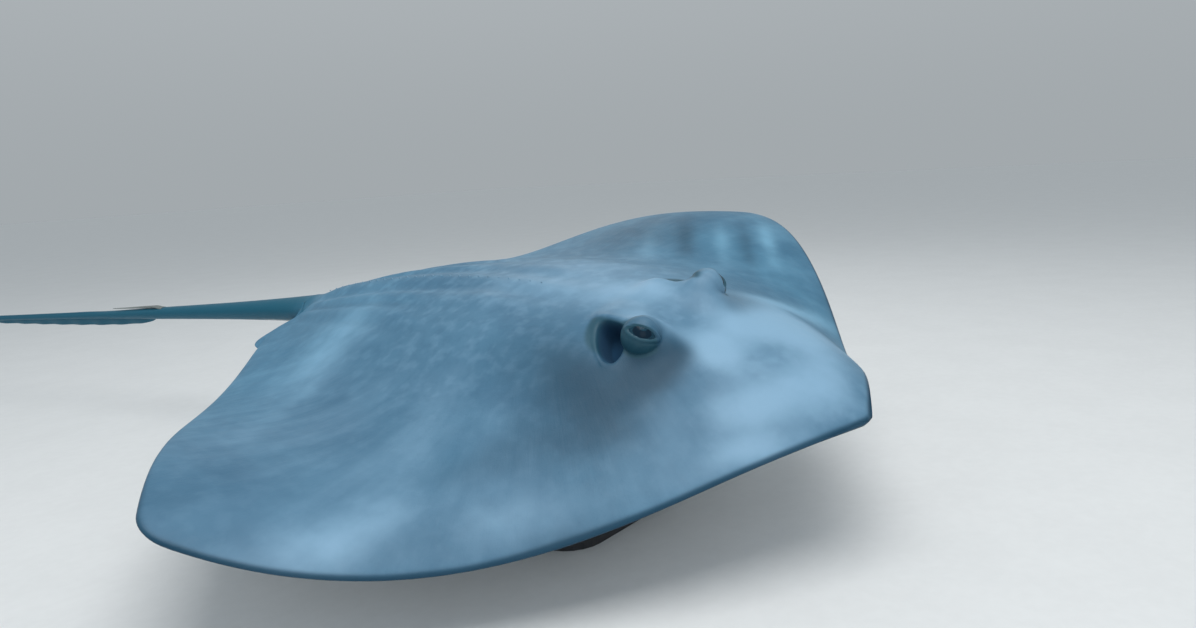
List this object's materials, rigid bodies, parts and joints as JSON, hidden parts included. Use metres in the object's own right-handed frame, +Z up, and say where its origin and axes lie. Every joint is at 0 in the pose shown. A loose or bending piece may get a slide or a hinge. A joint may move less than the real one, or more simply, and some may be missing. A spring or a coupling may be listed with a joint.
{
  "type": "stingray museum model on a display stand",
  "caption": "Life-size southern stingray gliding in a right-hand bank, held by two rods on a flat base.",
  "frame": {"origin": "middle of the underside of the stand's flat base", "axes": "the ray heads along -Y with its left side towards +X; +Z is up"},
  "size_m": [1.0699, 2.5318, 0.3373],
  "materials": {
    "skin": "smooth damp skin, cloudy slate blue-grey above and white below",
    "tail_skin": "smooth dark skin",
    "horn": "matt tooth-like spine",
    "eye": "wet and glossy, dark",
    "stand_paint": "satin dark grey powder coat",
    "stand_steel": "brushed"
  },
  "bodies": {
    "root": {"head": "skin", "trunk": "skin", "pectoral_fin_left": "skin", "pectoral_fin_right": "skin", "pelvic_fin_left": "skin", "pelvic_fin_right": "skin", "tail_base": "tail_skin", "tail_middle": "tail_skin", "tail_whip_front": "tail_skin", "tail_whip_end": "tail_skin", "tail_fold": "tail_skin", "tail_spine": "horn", "eye_left": "eye", "eye_right": "eye", "stand_base": "stand_paint", "stand_rod_front": "stand_steel", "stand_rod_rear": "stand_steel"}
  },
  "joints": []
}
